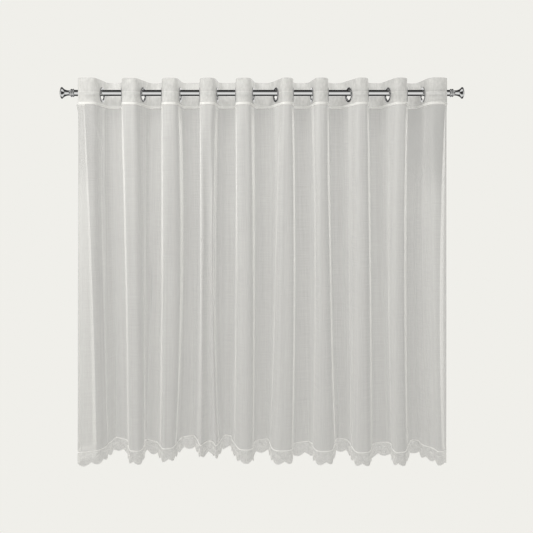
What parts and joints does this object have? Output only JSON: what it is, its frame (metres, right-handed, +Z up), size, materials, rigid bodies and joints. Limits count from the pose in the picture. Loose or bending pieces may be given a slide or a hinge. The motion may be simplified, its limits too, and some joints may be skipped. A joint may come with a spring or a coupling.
{
  "type": "sheer eyelet curtain with lace edge and rod",
  "caption": "Sheer eyelet curtain with a scalloped lace lower edge, hanging in soft uneven folds on a round chrome rod with trumpet finials.",
  "frame": {"origin": "centre of the rod, midway along it", "axes": "+X along the rod to the right as the room sees it, -Y towards the room, +Z up"},
  "size_m": [1.6126, 0.1989, 1.5153],
  "materials": {
    "chrome": "bright plated metal",
    "heading_cloth": "doubled sheer cloth over stiff tape, nearly opaque",
    "sheer_cloth": "fine plain-woven sheer polyester",
    "lace_trim": "fine net lace with a denser scalloped border"
  },
  "bodies": {
    "root": {"rod": "chrome", "finial_left": "chrome", "finial_right": "chrome", "heading": "heading_cloth", "panel": "sheer_cloth", "lace": "lace_trim", "eyelet_01": "chrome", "eyelet_02": "chrome", "eyelet_03": "chrome", "eyelet_04": "chrome", "eyelet_05": "chrome", "eyelet_06": "chrome", "eyelet_07": "chrome", "eyelet_08": "chrome", "eyelet_09": "chrome", "eyelet_10": "chrome", "eyelet_11": "chrome", "eyelet_12": "chrome", "eyelet_13": "chrome", "eyelet_14": "chrome", "eyelet_15": "chrome", "eyelet_16": "chrome", "eyelet_17": "chrome", "eyelet_18": "chrome"}
  },
  "joints": []
}
